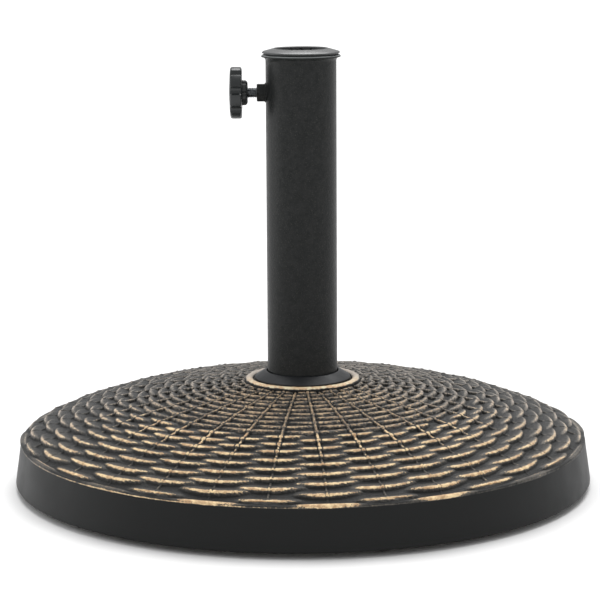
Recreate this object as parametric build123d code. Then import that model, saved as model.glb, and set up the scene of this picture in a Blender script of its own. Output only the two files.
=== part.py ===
from build123d import *
import math
import os

# Round woven-look parasol base: a weighted dome on rubber feet, a steel tube bolted into it,
# a loose trim collar round the tube, a reducer in the tube's mouth and a star-knob clamp screw.
# Millimetres. Origin on the ground under the tube's axis, +Z up, clamp screw along X on the -X side.

# ---- Driving dimensions -------------------------------------------------------------------

# Weighted disc
foot_projection = 4.2
disc_radius = 225.0
skirt_bottom_chamfer = 1.2
rim_radius = 220.6
rim_height = 35.5
shell_wall = 6.5

# Dome height above the ground is dome_top - slope * r - two powers of r / dome_scale
dome_top = 83.2
dome_slope = 0.077
dome_scale = 220.0
dome_shoulder_drop = 28.0
dome_shoulder_power = 3
dome_lip_drop = 1.2
dome_lip_power = 36
dome_spline_radii = (218.4, 214.0, 208.0, 196.0, 170.0, 140.0, 105.0, 75.0, 44.2)
cavity_spline_radii = (212.0, 204.0, 190.0, 165.0, 135.0, 105.0, 75.0, 44.2)
cavity_skirt_radius = 218.5
cavity_shoulder_radius = 214.5
cavity_shoulder_height = 28.0

# Raised bead ring round the collar
bead_outer_radius = 44.2
bead_crest_radius = 41.2
bead_inner_radius = 37.9
bead_crest_height = 82.9
bead_inner_height = 82.3
collar_seat_height = 81.2
hub_underside_height = 73.2

# Ballast and feet
ballast_bottom = 6.0
foot_count = 6
foot_radius = 15.0
foot_circle_radius = 190.0
foot_edge = 1.0

# Tube, its flared mouth and its socket
tube_radius = 27.2
tube_wall = 1.5
tube_bottom = 39.0
tube_top = 334.1
flare_radius = 30.5
flare_height = 4.8
flare_edge = 0.5
socket_clearance = 0.3
socket_wall = 2.0
socket_floor = 3.0
socket_top = 80.6

# Anchor bolt, M12, from below
bolt_radius = 6.0
bolt_length = 45.0
bolt_head_flats = 18.0
bolt_head_height = 7.5
bolt_clearance = 0.9
washer_radius = 18.5
washer_thickness = 3.0
lock_washer_radius = 10.6
lock_washer_thickness = 2.5
lock_washer_gap = 2.0
counterbore_radius = 22.0
counterbore_ceiling = 17.0
foot_plate_thickness = 5.0
foot_nut_height = 10.8
thread_clearance = 0.05

# Pole cup in the foot of the tube
pole_bore_radius = 20.0
cup_clearance = 0.3
cup_recess_radius = 17.0
cup_floor_height = 58.0
cup_floor_thickness = 3.0
cup_top = 100.0
cup_lead_in = 1.5

# Reducer in the tube's mouth
reducer_clearance = 0.2
reducer_bottom = 314.8
reducer_neck_radius = 28.3
flange_radius = 29.95
flange_underside = 335.2
flange_edge_top = 336.5
reducer_top = 338.9
reducer_mouth_edge = 0.9

# Trim collar
collar_bottom_radius = 37.4
collar_lip_height = 83.0
collar_top_radius = 29.3
collar_top = 88.1
collar_bore_radius = 28.0
collar_wall = 2.2

# Clamp screw, M8, on the -X side of the tube
clamp_height = 304.9
screw_radius = 4.0
screw_tip_x = -24.5
screw_head_flats = 13.0
screw_head_height = 5.3
screw_head_under_x = -46.5
clamp_nut_flats = 13.0
clamp_nut_face_x = -34.0
tube_hole_radius = 4.6
pad_radius = 3.0
pad_thickness = 2.0
pad_gap = 0.05
spigot_radius = 1.2
spigot_length = 4.0
spigot_clearance = 0.1

# Star knob
knob_radius = 19.85
knob_face_x = -55.2
knob_face_edge_x = -54.3
knob_back_x = -45.4
knob_edge = 1.0
knob_lobes = 8
knob_first_groove = 9.5
groove_radius = 3.3
groove_depth = 2.5
hub_radius = 9.6
hub_face_x = -40.9
hub_bevel = 1.8
cap_radius = 8.3
cap_back_x = -52.3
cap_crown = 0.25

# ---- Shared shapes ------------------------------------------------------------------------


def dome_height(radius):
    """Height of the weave's mean surface above the ground."""
    share = radius / dome_scale
    shoulder = dome_shoulder_drop * share**dome_shoulder_power
    lip = dome_lip_drop * share**dome_lip_power
    return dome_top - dome_slope * radius - shoulder - lip


def turned(outline, axis=Axis.Z):
    """Solid of revolution from a closed outline of (radius or x, height) edges in the XZ plane."""
    return revolve(Plane.XZ * make_face(outline), axis)


def turned_polygon(*corners):
    """Solid of revolution about Z from the corners of a closed outline."""
    return turned(Polyline(*corners, close=True))


def cavity_outline():
    """Inner face of the shell from the bottom of the skirt to the central hole."""
    dome = [(r, dome_height(r) - shell_wall) for r in cavity_spline_radii]
    skirt = Polyline(
        (cavity_skirt_radius, foot_projection),
        (cavity_shoulder_radius, cavity_shoulder_height),
        dome[0],
    )
    hub = Polyline(dome[-1], (socket_outer_radius(), hub_underside_height))
    return skirt + Spline(*dome) + hub


def socket_outer_radius():
    return tube_radius + socket_clearance + socket_wall


def x_cylinder(radius, x_from, x_to):
    """Cylinder on the clamp screw's axis."""
    return Plane(origin=(x_from, 0, clamp_height), z_dir=(1, 0, 0)) * Cylinder(
        radius, x_to - x_from, align=(Align.CENTER, Align.CENTER, Align.MIN)
    )


def x_hexagon(flats, x_from, x_to):
    """Hexagonal prism on the clamp screw's axis, with flats facing up and down."""
    plane = Plane(origin=(x_from, 0, clamp_height), x_dir=(0, 1, 0), z_dir=(1, 0, 0))
    outline = RegularPolygon(flats / 2, 6, major_radius=False)
    return extrude(plane * outline, x_to - x_from)


def z_hexagon(flats, bottom, height):
    """Hexagonal prism on the tube's axis."""
    return extrude(Pos(0, 0, bottom) * RegularPolygon(flats / 2, 6, major_radius=False), height)


# ---- Weighted disc ------------------------------------------------------------------------


def resin_shell():
    """Moulded shell: drafted skirt, dome and bead ring round the collar's seat."""
    hole = socket_outer_radius()
    dome = [(r, dome_height(r)) for r in dome_spline_radii]
    skirt = Polyline(
        (cavity_skirt_radius, foot_projection),
        (disc_radius - skirt_bottom_chamfer, foot_projection),
        (disc_radius, foot_projection + skirt_bottom_chamfer),
        (rim_radius, rim_height),
        dome[0],
    )
    bead = ThreePointArc(
        (bead_outer_radius, dome_height(bead_outer_radius)),
        (bead_crest_radius, bead_crest_height),
        (bead_inner_radius, bead_inner_height),
    )
    seat = Polyline(
        (bead_inner_radius, bead_inner_height),
        (bead_inner_radius, collar_seat_height),
        (hole, collar_seat_height),
        (hole, hub_underside_height),
    )
    return turned(skirt + Spline(*dome) + bead + seat + cavity_outline())


def ballast_core():
    """Cement fill of the shell, with the counterbore and the hole of the anchor bolt."""
    hole = socket_outer_radius()
    bolt_hole = bolt_radius + bolt_clearance
    socket_bottom = tube_bottom - socket_floor
    closing = Polyline(
        (hole, hub_underside_height),
        (hole, socket_bottom),
        (bolt_hole, socket_bottom),
        (bolt_hole, counterbore_ceiling),
        (counterbore_radius, counterbore_ceiling),
        (counterbore_radius, foot_projection),
        (cavity_skirt_radius, foot_projection),
    )
    filled = turned(cavity_outline() + closing)
    underside = Cylinder(
        disc_radius, ballast_bottom, align=(Align.CENTER, Align.CENTER, Align.MIN)
    )
    return filled - underside


def rubber_feet():
    """Round rubber pads glued to the underside, one group of separate solids."""
    pad = Cylinder(foot_radius, ballast_bottom, align=(Align.CENTER, Align.CENTER, Align.MIN))
    pad = chamfer(pad.edges().group_by(Axis.Z)[0], foot_edge)
    return [place * pad for place in PolarLocations(foot_circle_radius, foot_count)]


def tube_socket():
    """Cast-in cup that takes the tube's foot."""
    outer = socket_outer_radius()
    inner = tube_radius + socket_clearance
    bolt_hole = bolt_radius + bolt_clearance
    return turned_polygon(
        (bolt_hole, tube_bottom - socket_floor),
        (outer, tube_bottom - socket_floor),
        (outer, socket_top),
        (inner, socket_top),
        (inner, tube_bottom),
        (bolt_hole, tube_bottom),
    )


# ---- Anchor bolt --------------------------------------------------------------------------


def bolt_head_top():
    return counterbore_ceiling - washer_thickness - lock_washer_thickness


def anchor_bolt():
    """Hexagon bolt that holds the tube down, put in from below."""
    head_bottom = bolt_head_top() - bolt_head_height
    head = z_hexagon(bolt_head_flats, head_bottom, bolt_head_height)
    shank = turned_polygon(
        (0, bolt_head_top()),
        (bolt_radius, bolt_head_top()),
        (bolt_radius, bolt_head_top() + bolt_length - 1),
        (bolt_radius - 1, bolt_head_top() + bolt_length),
        (0, bolt_head_top() + bolt_length),
    )
    return head + shank


def anchor_washer():
    """Wide washer that spreads the bolt's load over the cement."""
    low = counterbore_ceiling - washer_thickness
    return turned_polygon(
        (bolt_radius + thread_clearance, low),
        (washer_radius, low),
        (washer_radius, counterbore_ceiling),
        (bolt_radius + thread_clearance, counterbore_ceiling),
    )


def lock_washer():
    """Split spring washer under the bolt's head."""
    low = bolt_head_top()
    high = low + lock_washer_thickness
    whole = turned_polygon(
        (bolt_radius + thread_clearance, low),
        (lock_washer_radius, low),
        (lock_washer_radius, high),
        (bolt_radius + thread_clearance, high),
    )
    middle = (bolt_radius + lock_washer_radius) / 2
    split = Pos(middle, 0, low) * Box(2 * bolt_radius, lock_washer_gap, 4 * lock_washer_thickness)
    return whole - split


# ---- Tube ---------------------------------------------------------------------------------


def pole_tube():
    """Steel tube with a flared mouth and the clamp screw's hole."""
    inner = tube_radius - tube_wall
    flare_start = tube_top - flare_height
    lip_bottom = tube_top - 2 * flare_edge - 1.0
    mouth_radius = flare_radius - tube_wall - flare_edge
    outside = Polyline((inner, tube_bottom), (tube_radius, tube_bottom), (tube_radius, flare_start))
    bell = ThreePointArc(
        (tube_radius, flare_start),
        (tube_radius + 0.6, flare_start + 1.9),
        (flare_radius, lip_bottom),
    )
    lip = Polyline(
        (flare_radius, lip_bottom),
        (flare_radius, tube_top - flare_edge),
        (flare_radius - flare_edge, tube_top),
        (mouth_radius, tube_top),
    )
    throat = ThreePointArc(
        (mouth_radius, tube_top),
        (inner + 0.7, flare_start + 2.2),
        (inner, flare_start),
    )
    bore = Line((inner, flare_start), (inner, tube_bottom))
    tube = turned(outside + bell + lip + throat + bore)
    return tube - x_cylinder(tube_hole_radius, -flare_radius, 0)


def tube_foot_plate():
    """Disc welded into the tube's foot."""
    return turned_polygon(
        (bolt_radius + thread_clearance, tube_bottom),
        (tube_radius - tube_wall, tube_bottom),
        (tube_radius - tube_wall, tube_bottom + foot_plate_thickness),
        (bolt_radius + thread_clearance, tube_bottom + foot_plate_thickness),
    )


def tube_foot_nut():
    """Nut welded on the foot plate, where the anchor bolt ends."""
    bottom = tube_bottom + foot_plate_thickness
    bore = Pos(0, 0, bottom + foot_nut_height / 2) * Cylinder(
        bolt_radius + thread_clearance, 2 * foot_nut_height
    )
    return z_hexagon(bolt_head_flats, bottom, foot_nut_height) - bore


def pole_cup():
    """Plastic cup over the foot nut that centres the pole's foot and carries its weight."""
    outer = tube_radius - tube_wall - cup_clearance
    seat = cup_floor_height + cup_floor_thickness
    bottom = tube_bottom + foot_plate_thickness
    return turned_polygon(
        (0, cup_floor_height),
        (cup_recess_radius, cup_floor_height),
        (cup_recess_radius, bottom),
        (outer, bottom),
        (outer, cup_top),
        (pole_bore_radius + cup_lead_in, cup_top),
        (pole_bore_radius, cup_top - cup_lead_in),
        (pole_bore_radius, seat),
        (0, seat),
    )


def clamp_nut():
    """Hexagon nut welded on the tube's side for the clamp screw."""
    block = x_hexagon(clamp_nut_flats, clamp_nut_face_x, 0)
    corners = x_cylinder(clamp_nut_flats * 0.56, clamp_nut_face_x, 0)
    corners = chamfer(corners.edges().group_by(Axis.X)[0], 1.0)
    tube_body = Pos(0, 0, clamp_height) * Cylinder(tube_radius, 4 * clamp_nut_flats)
    bore = x_cylinder(screw_radius + thread_clearance, 2 * clamp_nut_face_x, 0)
    return (block & corners) - tube_body - bore


# ---- Loose trim ---------------------------------------------------------------------------


def base_collar():
    """Conical trim ring that slides on the tube and hides its foot."""
    return turned_polygon(
        (collar_bottom_radius, collar_seat_height),
        (collar_bottom_radius, collar_lip_height),
        (collar_top_radius, collar_top),
        (collar_bore_radius, collar_top),
        (collar_bore_radius, collar_top - collar_wall),
        (collar_bottom_radius - collar_wall, collar_seat_height),
    )


def pole_reducer():
    """Flanged bush that fills the tube's mouth round a thinner pole."""
    sleeve = tube_radius - tube_wall - reducer_clearance
    neck_low = tube_top - flare_height
    return turned_polygon(
        (pole_bore_radius, reducer_bottom),
        (sleeve - 1, reducer_bottom),
        (sleeve, reducer_bottom + 1),
        (sleeve, neck_low),
        (sleeve + 0.3, neck_low + 1.6),
        (reducer_neck_radius - 0.3, tube_top + 0.1),
        (reducer_neck_radius, flange_underside),
        (flange_radius - 0.35, flange_underside),
        (flange_radius, flange_underside + 0.4),
        (flange_radius, flange_edge_top - 0.6),
        (flange_radius - 0.35, flange_edge_top),
        (pole_bore_radius + reducer_mouth_edge, reducer_top),
        (pole_bore_radius, reducer_top - reducer_mouth_edge),
    )


# ---- Clamp screw --------------------------------------------------------------------------


def clamp_screw():
    """Hexagon-head screw with a hole in its end for the pad's spigot."""
    shank = x_cylinder(screw_radius, screw_head_under_x, screw_tip_x)
    shank = chamfer(shank.edges().group_by(Axis.X)[-1], 0.6)
    head = x_hexagon(screw_head_flats, screw_head_under_x - screw_head_height, screw_head_under_x)
    hole_depth = spigot_length + 2 * spigot_clearance
    hole = x_cylinder(spigot_radius + spigot_clearance, screw_tip_x - hole_depth, screw_tip_x)
    return shank + head - hole


def clamp_pad():
    """Soft pad that swivels on the screw's end and bears on the pole."""
    face = x_cylinder(pad_radius, screw_tip_x + pad_gap, screw_tip_x + pad_gap + pad_thickness)
    face = chamfer(face.edges().group_by(Axis.X)[-1], 0.4)
    spigot = x_cylinder(spigot_radius, screw_tip_x - spigot_length, screw_tip_x + pad_gap)
    return face + spigot


def knob_blank():
    """Crowned disc and hub of the knob before its grooves, pocket and screw hole."""
    crown = ThreePointArc(
        (knob_face_edge_x, clamp_height + knob_radius - knob_edge),
        (knob_face_x + 0.25, clamp_height + knob_radius / 2),
        (knob_face_x, clamp_height),
    )
    rim = Polyline(
        (knob_face_x, clamp_height),
        (hub_face_x, clamp_height),
        (hub_face_x, clamp_height + hub_radius - hub_bevel),
        (hub_face_x - hub_bevel, clamp_height + hub_radius),
        (knob_back_x, clamp_height + hub_radius),
        (knob_back_x, clamp_height + knob_radius - knob_edge),
        (knob_back_x - knob_edge, clamp_height + knob_radius),
        (knob_face_edge_x + knob_edge, clamp_height + knob_radius),
        (knob_face_edge_x, clamp_height + knob_radius - knob_edge),
    )
    return turned(crown + rim, Axis((0, 0, clamp_height), (1, 0, 0)))


def knob_body():
    """Star knob with finger grooves, a pocket for the screw's head and a seat for the cap."""
    knob = knob_blank()
    groove_circle = knob_radius - groove_depth + groove_radius
    for lobe in range(knob_lobes):
        angle = math.radians(knob_first_groove + lobe * 360 / knob_lobes)
        offset = (0, -groove_circle * math.cos(angle), groove_circle * math.sin(angle))
        knob -= Pos(offset) * x_cylinder(groove_radius, 1.1 * knob_face_x, knob_back_x + 0.01)
    knob -= x_cylinder(cap_radius, 1.1 * knob_face_x, cap_back_x)
    knob -= x_hexagon(screw_head_flats, cap_back_x - 0.01, screw_head_under_x)
    return knob - x_cylinder(screw_radius, screw_head_under_x - 0.01, 0)


def knob_cap():
    """Press-in disc that closes the knob over the screw's head."""
    outline = Polyline(
        (cap_back_x, clamp_height),
        (cap_back_x, clamp_height + cap_radius),
        (knob_face_x + cap_crown, clamp_height + cap_radius),
        (knob_face_x, clamp_height + cap_radius / 2),
        (knob_face_x, clamp_height),
        close=True,
    )
    return turned(outline, Axis((0, 0, clamp_height), (1, 0, 0)))


# ---- Written files ------------------------------------------------------------------------

nodes = {
    "resin_shell": resin_shell(),
    "ballast_core": ballast_core(),
    "rubber_feet": Compound(children=rubber_feet()),
    "tube_socket": tube_socket(),
    "anchor_bolt": anchor_bolt(),
    "anchor_washer": anchor_washer(),
    "lock_washer": lock_washer(),
    "pole_tube": pole_tube(),
    "tube_foot_plate": tube_foot_plate(),
    "tube_foot_nut": tube_foot_nut(),
    "pole_cup": pole_cup(),
    "clamp_nut": clamp_nut(),
    "base_collar": base_collar(),
    "pole_reducer": pole_reducer(),
    "clamp_screw": clamp_screw(),
    "clamp_pad": clamp_pad(),
    "knob_body": knob_body(),
    "knob_cap": knob_cap(),
}

os.makedirs("parts", exist_ok=True)
for name, shape in nodes.items():
    export_step(shape, f"parts/{name}.step")
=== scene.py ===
import math

import bpy
import numpy as np
from mathutils import Matrix, Vector


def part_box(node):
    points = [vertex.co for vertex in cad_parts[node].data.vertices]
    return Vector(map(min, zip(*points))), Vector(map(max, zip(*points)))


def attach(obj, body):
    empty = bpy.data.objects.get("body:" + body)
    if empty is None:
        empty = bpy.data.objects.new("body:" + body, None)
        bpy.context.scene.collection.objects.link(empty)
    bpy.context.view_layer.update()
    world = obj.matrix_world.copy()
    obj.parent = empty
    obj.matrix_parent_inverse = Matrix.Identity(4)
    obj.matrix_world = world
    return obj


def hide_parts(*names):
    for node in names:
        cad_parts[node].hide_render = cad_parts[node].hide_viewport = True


# A woven-look parasol base on a pale floor. Metres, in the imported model's frame: origin on the
# ground under the tube, +Z up, clamp screw on the -X side, camera on the -Y side.

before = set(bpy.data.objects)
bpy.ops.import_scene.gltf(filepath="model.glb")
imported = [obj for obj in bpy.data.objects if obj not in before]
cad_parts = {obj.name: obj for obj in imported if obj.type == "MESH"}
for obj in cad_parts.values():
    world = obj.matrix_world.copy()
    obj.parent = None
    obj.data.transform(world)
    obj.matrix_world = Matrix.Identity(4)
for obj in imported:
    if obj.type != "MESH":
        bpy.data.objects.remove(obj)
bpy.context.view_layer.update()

MM = 0.001
TURN = 2 * math.pi


# ---- Sizes read from the frame ------------------------------------------------------------


def low(node):
    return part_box(node)[0] / MM


def high(node):
    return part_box(node)[1] / MM


SHELL_BOTTOM = low("resin_shell").z
DISC_RADIUS = -low("resin_shell").y
TUBE_BOTTOM = low("pole_tube").z
TUBE_TOP = high("pole_tube").z
FLARE_RADIUS = high("pole_tube").x
COLLAR_BOTTOM = low("base_collar").z
COLLAR_TOP = high("base_collar").z
COLLAR_RADIUS = high("base_collar").x
REDUCER_BOTTOM = low("pole_reducer").z
REDUCER_TOP = high("pole_reducer").z
FLANGE_RADIUS = high("pole_reducer").x
SOCKET_RADIUS = high("tube_socket").x
CLAMP_HEIGHT = (low("knob_body").z + high("knob_body").z) / 2
KNOB_RADIUS = (high("knob_body").z - low("knob_body").z) / 2
KNOB_FACE = low("knob_body").x
HUB_FACE = high("knob_body").x
CAP_FACE = low("knob_cap").x
CAP_BACK = high("knob_cap").x
CAP_RADIUS = high("knob_cap").y
SCREW_TIP = high("clamp_screw").x
SCREW_HEAD_OUT = low("clamp_screw").x
NUT_FACE = low("clamp_nut").x
NUT_FLATS = high("clamp_nut").z - low("clamp_nut").z
FOOT_TOP = high("rubber_feet").z
FOOT_REACH = high("rubber_feet").x
BOLT_BOTTOM = low("anchor_bolt").z
BOLT_TOP = high("anchor_bolt").z
BOLT_FLATS = high("anchor_bolt").y - low("anchor_bolt").y

TUBE_RADIUS = 27.2
TUBE_WALL = 1.5
FLARE_HEIGHT = 4.8
FLARE_BEND = 3.1
POLE_RADIUS = 20.0

# The dome's mean height is DOME_TOP - DOME_SLOPE * r - two powers of r / DOME_SCALE
DOME_TOP = 83.2
DOME_SLOPE = 0.077
DOME_SCALE = 220.0
DOME_SHOULDER = (28.0, 3)
DOME_LIP = (1.2, 36)


def dome_height(radius):
    share = radius / DOME_SCALE
    shoulder = DOME_SHOULDER[0] * share ** DOME_SHOULDER[1]
    lip = DOME_LIP[0] * share ** DOME_LIP[1]
    return DOME_TOP - DOME_SLOPE * radius - shoulder - lip


# ---- Mesh tools ---------------------------------------------------------------------------


def mesh_object(name, points, faces, relief_and_shade=None, crease=35):
    """A smooth object from points in millimetres, sharp where faces meet over crease degrees."""
    mesh = bpy.data.meshes.new(name)
    mesh.from_pydata((np.asarray(points) * MM).tolist(), [], faces)
    mesh.shade_smooth()
    mesh.set_sharp_from_angle(angle=math.radians(crease))
    if relief_and_shade is not None:
        layer = mesh.attributes.new("relief_and_shade", "FLOAT", "POINT")
        layer.data.foreach_set("value", np.asarray(relief_and_shade, np.float32).ravel())
    piece = bpy.data.objects.new(name, mesh)
    bpy.context.scene.collection.objects.link(piece)
    return piece


def grid_faces(rows, columns, closed=False):
    """Quads between neighbouring circles of points, and from the last to the first if closed."""
    faces = []
    for i in range(rows if closed else rows - 1):
        here = i * columns
        above = (i + 1) % rows * columns
        for j in range(columns):
            k = (j + 1) % columns
            faces.append((here + j, here + k, above + k, above + j))
    return faces


def around(axis, along, across, angle):
    """Points at an angle round the tube's axis, or round the clamp screw's if axis is X."""
    a, b = across * np.cos(angle), across * np.sin(angle)
    if axis == "X":
        return np.stack((along, -a, CLAMP_HEIGHT + b), -1)
    return np.stack((a, b, along), -1)


def rounded(corners, radius, steps=5):
    """The closed outline with every corner rounded, as far as its two sides allow."""
    outline = []
    count = len(corners)
    for i in range(count):
        here = np.array(corners[i], float)
        before = np.array(corners[i - 1], float) - here
        after = np.array(corners[(i + 1) % count], float) - here
        reach_before = np.linalg.norm(before)
        reach_after = np.linalg.norm(after)
        cut = min(radius, 0.45 * reach_before, 0.45 * reach_after)
        start = here + before / reach_before * cut
        end = here + after / reach_after * cut
        for t in np.linspace(0, 1, steps):
            outline.append((1 - t) ** 2 * start + 2 * t * (1 - t) * here + t**2 * end)
    return np.array(outline)


def lathe(name, outline, segments=192, axis="Z", bend=None, crease=35):
    """A closed ring turned from a closed outline of (radius, height) points.

    With axis X the height runs along X on the clamp screw's axis. bend may shift the points.
    """
    outline = np.asarray(outline, float)
    angles = np.arange(segments) / segments * TURN
    radius, angle = np.meshgrid(outline[:, 0], angles, indexing="ij")
    height = np.repeat(outline[:, 1:2], segments, axis=1)
    if bend is not None:
        radius, height = bend(radius, height, angle)
    points = around(axis, height, radius, angle)
    faces = grid_faces(len(outline), segments, closed=True)
    return mesh_object(name, points.reshape(-1, 3), faces, crease=crease)


def joined(name, parts):
    """One object from several, which are used up."""
    first = parts[0]
    bpy.ops.object.select_all(action="DESELECT")
    for part in parts:
        part.select_set(True)
    bpy.context.view_layer.objects.active = first
    if len(parts) > 1:
        bpy.ops.object.join()
    first.name = name
    first.data.name = name
    return first


def add_piece(piece, body, slot, material, *nodes):
    """Puts a finished piece on its body, in its material and in the place of its CAD nodes."""
    piece.data.materials.clear()
    piece.data.materials.append(material)
    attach(piece, body)
    if nodes:
        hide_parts(*nodes)
    return piece


# ---- Material tools -----------------------------------------------------------------------


class Finish:
    """A Principled material whose nodes are added by short calls. Texture sizes are in mm."""

    def __init__(self, name):
        self.material = bpy.data.materials.new(name)
        self.material.use_nodes = True
        self.tree = self.material.node_tree
        self.shader = self.tree.nodes["Principled BSDF"]
        self.place = self.node("ShaderNodeTexCoord").outputs["Object"]

    def node(self, kind, inputs=None, **settings):
        made = self.tree.nodes.new(kind)
        for key, value in settings.items():
            setattr(made, key, value)
        for key, value in (inputs or {}).items():
            self.put(made.inputs[key], value)
        return made

    def put(self, socket, value):
        if isinstance(value, bpy.types.NodeSocket):
            self.tree.links.new(value, socket)
        else:
            socket.default_value = value

    def stretched(self, x, y, z):
        """The piece's coordinates scaled along each axis, for grain with a direction."""
        scaled = self.node("ShaderNodeMapping", {"Vector": self.place, "Scale": (x, y, z)})
        return scaled.outputs["Vector"]

    def polar(self):
        """Distance from the tube's axis, and how far a point lies to the front and to the right."""
        parts = self.node("ShaderNodeSeparateXYZ", {"Vector": self.place})
        flat = self.stretched(1, 1, 0)
        length = self.node("ShaderNodeVectorMath", {0: flat}, operation="LENGTH").outputs["Value"]
        front = self.math("DIVIDE", parts.outputs["Y"], self.math("MULTIPLY", length, -1.0))
        right = self.math("DIVIDE", parts.outputs["X"], length)
        return length, front, right

    def swept(self, slow):
        """Coordinates for grain round the tube's axis, slow times as long as it is wide."""
        length, _, _ = self.polar()
        around = self.stretched(1 / slow, 1 / slow, 1 / slow)
        parts = self.node("ShaderNodeSeparateXYZ", {"Vector": around})
        joined = {"X": length, "Y": parts.outputs["X"], "Z": parts.outputs["Y"]}
        return self.node("ShaderNodeCombineXYZ", joined).outputs["Vector"]

    def noise(self, size, detail=3.0, rough=0.55, where=None):
        made = self.node(
            "ShaderNodeTexNoise",
            {
                "Vector": where or self.place,
                "Scale": 1 / (size * MM),
                "Detail": detail,
                "Roughness": rough,
            },
        )
        return made.outputs["Fac"]

    def cells(self, size, feature="F1"):
        made = self.node(
            "ShaderNodeTexVoronoi",
            {"Vector": self.place, "Scale": 1 / (size * MM)},
            feature=feature,
        )
        return made.outputs["Distance"]

    def range(self, value, start, end, to_start=0.0, to_end=1.0, smooth=True):
        made = self.node(
            "ShaderNodeMapRange",
            {
                "Value": value,
                "From Min": start,
                "From Max": end,
                "To Min": to_start,
                "To Max": to_end,
            },
            interpolation_type="SMOOTHSTEP" if smooth else "LINEAR",
        )
        return made.outputs["Result"]

    def math(self, operation, a, b=0.0):
        made = self.node("ShaderNodeMath", operation=operation)
        self.put(made.inputs[0], a)
        self.put(made.inputs[1], b)
        return made.outputs["Value"]

    def weighed(self, a, a_weight, b, b_weight):
        """The sum of two values, each times its weight."""
        weighed_a = self.math("MULTIPLY", a, a_weight)
        return self.math("ADD", weighed_a, self.math("MULTIPLY", b, b_weight))

    def mix(self, share, a, b):
        made = self.node("ShaderNodeMix", data_type="RGBA")
        self.put(made.inputs["Factor"], share)
        self.put(made.inputs[6], a)
        self.put(made.inputs[7], b)
        return made.outputs[2]

    def attribute(self, name):
        return self.node("ShaderNodeAttribute", attribute_name=name).outputs["Fac"]

    def bump(self, height, depth):
        """Bump whose full height is depth millimetres."""
        made = self.node("ShaderNodeBump", {"Height": height, "Distance": depth * MM})
        return made.outputs["Normal"]

    def shade(self, **sockets):
        """Sets sockets of the shader, with spaces in their names written as underscores."""
        for key, value in sockets.items():
            self.put(self.shader.inputs[key.replace("_", " ")], value)
        return self.material


def rgb(red, green, blue):
    """A colour from 0 to 255 screen values, as linear light."""
    levels = (red, green, blue)
    light = [((c / 255 + 0.055) / 1.055) ** 2.4 if c > 10 else c / 3294 for c in levels]
    return (*light, 1.0)


# ---- Materials ----------------------------------------------------------------------------


def woven_paint(name, start, ragged, dust, dark, light):
    """Black resin, charcoal where it stands proud and near black as painted shade in its hollows,
    with bronze dry-brushed on the crests.

    The bronze begins where relief_and_shade passes start, unevenly by ragged, and is thickest at
    the front as painted front light; away from the front it turns grey as painted sheen.
    It lies between the screen colours dark and light. Below it comes pale dust, as thick as dust,
    which grows towards the sides and the right as painted sheen.
    """
    paint = Finish(name)
    relief_and_shade = paint.attribute("relief_and_shade")
    _, front, right = paint.polar()
    streaks = paint.noise(0.8, detail=4, rough=0.7, where=paint.swept(5))
    speckle = paint.noise(1.5, detail=4, rough=0.75)
    patches = paint.noise(24, detail=2)
    chipped = paint.math("ADD", streaks, speckle)
    chipped = paint.math("MULTIPLY", paint.math("SUBTRACT", chipped, 1.0), ragged)
    uneven = paint.math("MULTIPLY", paint.math("SUBTRACT", patches, 0.5), 0.5)
    # Painted light: the paint level rises towards the front, so the bronze is thickest there
    painted_front_light = paint.range(front, -0.1, 0.9, -0.16, 0.04)
    level = paint.math("ADD", paint.math("ADD", relief_and_shade, chipped), paint.math("ADD", uneven, painted_front_light))
    painted = paint.range(level, start, start + 0.1)
    dust_and_sheen = paint.range(level, 0.1, start)
    # Painted sheen: the pale dust grows towards the sides and the right
    dust_and_sheen = paint.math("MULTIPLY", dust_and_sheen, paint.range(front, 0.95, -0.1, dust / 2, dust))
    dust_and_sheen = paint.math("MULTIPLY", dust_and_sheen, paint.range(right, -0.2, 0.9, 1.0, 1.5, smooth=False))
    resin = paint.mix(speckle, rgb(14, 15, 15), rgb(40, 40, 39))
    resin = paint.mix(dust_and_sheen, resin, rgb(122, 116, 108))
    # Painted shade: near black where relief_and_shade is negative, in the trenches and notches and
    # at the bead's foot
    resin = paint.mix(paint.range(relief_and_shade, -0.3, 0.15), rgb(3, 3, 3), resin)
    warmth = paint.range(paint.noise(4, detail=3), 0.35, 0.65)
    bronze = paint.mix(warmth, rgb(*dark), rgb(*light))
    # Painted sheen: the bronze turns grey away from the front
    bronze = paint.mix(paint.range(front, 0.75, -0.2), bronze, rgb(178, 167, 156))
    rough = paint.range(speckle, 0.3, 0.7, 0.38, 0.55)
    surface = paint.weighed(streaks, 0.5, speckle, 0.6)
    return paint.shade(
        Base_Color=paint.mix(painted, resin, bronze),
        Roughness=rough,
        Specular_IOR_Level=0.25,
        Normal=paint.bump(surface, 0.8),
    )


def skirt_paint():
    """Smooth satin black of the skirt, faintly clouded."""
    paint = Finish("skirt_paint")
    cloud = paint.noise(30, detail=3)
    fine = paint.noise(0.9, detail=2)
    return paint.shade(
        Base_Color=paint.mix(cloud, rgb(24, 25, 25), rgb(31, 32, 32)),
        Roughness=paint.range(cloud, 0.3, 0.7, 0.42, 0.5),
        Specular_IOR_Level=0.16,
        Normal=paint.bump(fine, 0.02),
    )


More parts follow.
